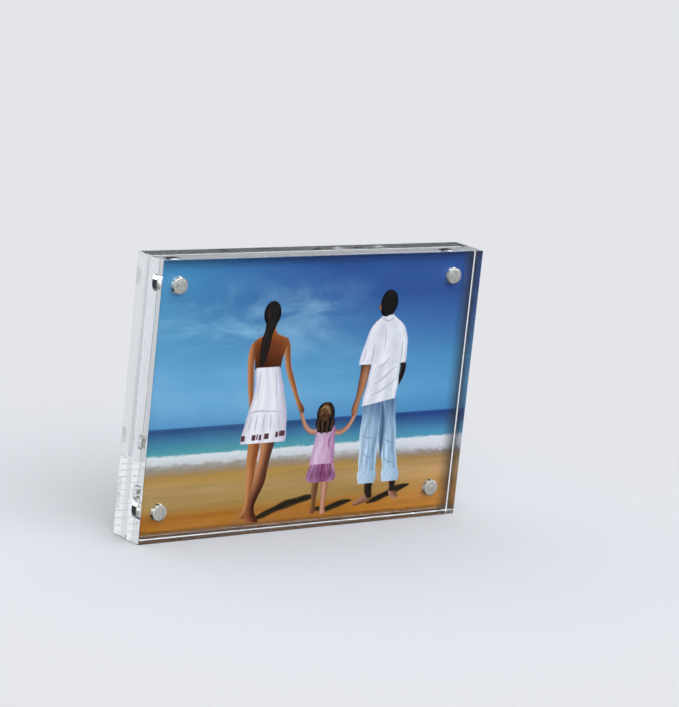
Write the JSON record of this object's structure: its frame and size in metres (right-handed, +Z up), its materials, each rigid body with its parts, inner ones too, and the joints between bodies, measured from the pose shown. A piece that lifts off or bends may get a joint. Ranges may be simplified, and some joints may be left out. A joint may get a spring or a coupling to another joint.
{
  "type": "magnetic acrylic block photo frame",
  "caption": "Frameless photo frame that stands on edge: thick clear acrylic blocks, held together by corner magnets, clamp a photo print between them.",
  "frame": {"origin": "middle of the footprint, on the surface that the frame stands on", "axes": "+X to the right as the picture is seen from the front, +Y through the frame from the picture's front to its back, +Z up"},
  "size_m": [0.178, 0.0206, 0.127],
  "materials": {
    "clear_acrylic": "polished",
    "nickel_plate": "polished",
    "clear_adhesive": "satin",
    "photo_paper": "gloss"
  },
  "bodies": {
    "back_half": {"back_block": "clear_acrylic", "back_magnet_top_left": "nickel_plate", "back_magnet_top_right": "nickel_plate", "back_magnet_bottom_left": "nickel_plate", "back_magnet_bottom_right": "nickel_plate", "back_magnet_bond_top_left": "clear_adhesive", "back_magnet_bond_top_right": "clear_adhesive", "back_magnet_bond_bottom_left": "clear_adhesive", "back_magnet_bond_bottom_right": "clear_adhesive"},
    "front_half": {"front_block": "clear_acrylic", "front_magnet_top_left": "nickel_plate", "front_magnet_top_right": "nickel_plate", "front_magnet_bottom_left": "nickel_plate", "front_magnet_bottom_right": "nickel_plate", "front_magnet_bond_top_left": "clear_adhesive", "front_magnet_bond_top_right": "clear_adhesive", "front_magnet_bond_bottom_left": "clear_adhesive", "front_magnet_bond_bottom_right": "clear_adhesive"},
    "print": {"photo_print": "photo_paper"}
  },
  "joints": [
    {"name": "print_off_back", "type": "slide", "parent": "back_half", "child": "print", "axis": [0, -1, 0], "range_m": [0, 0.03]},
    {"name": "front_pull_off", "type": "slide", "parent": "print", "child": "front_half", "axis": [0, -1, 0], "range_m": [0, 0.06]}
  ]
}
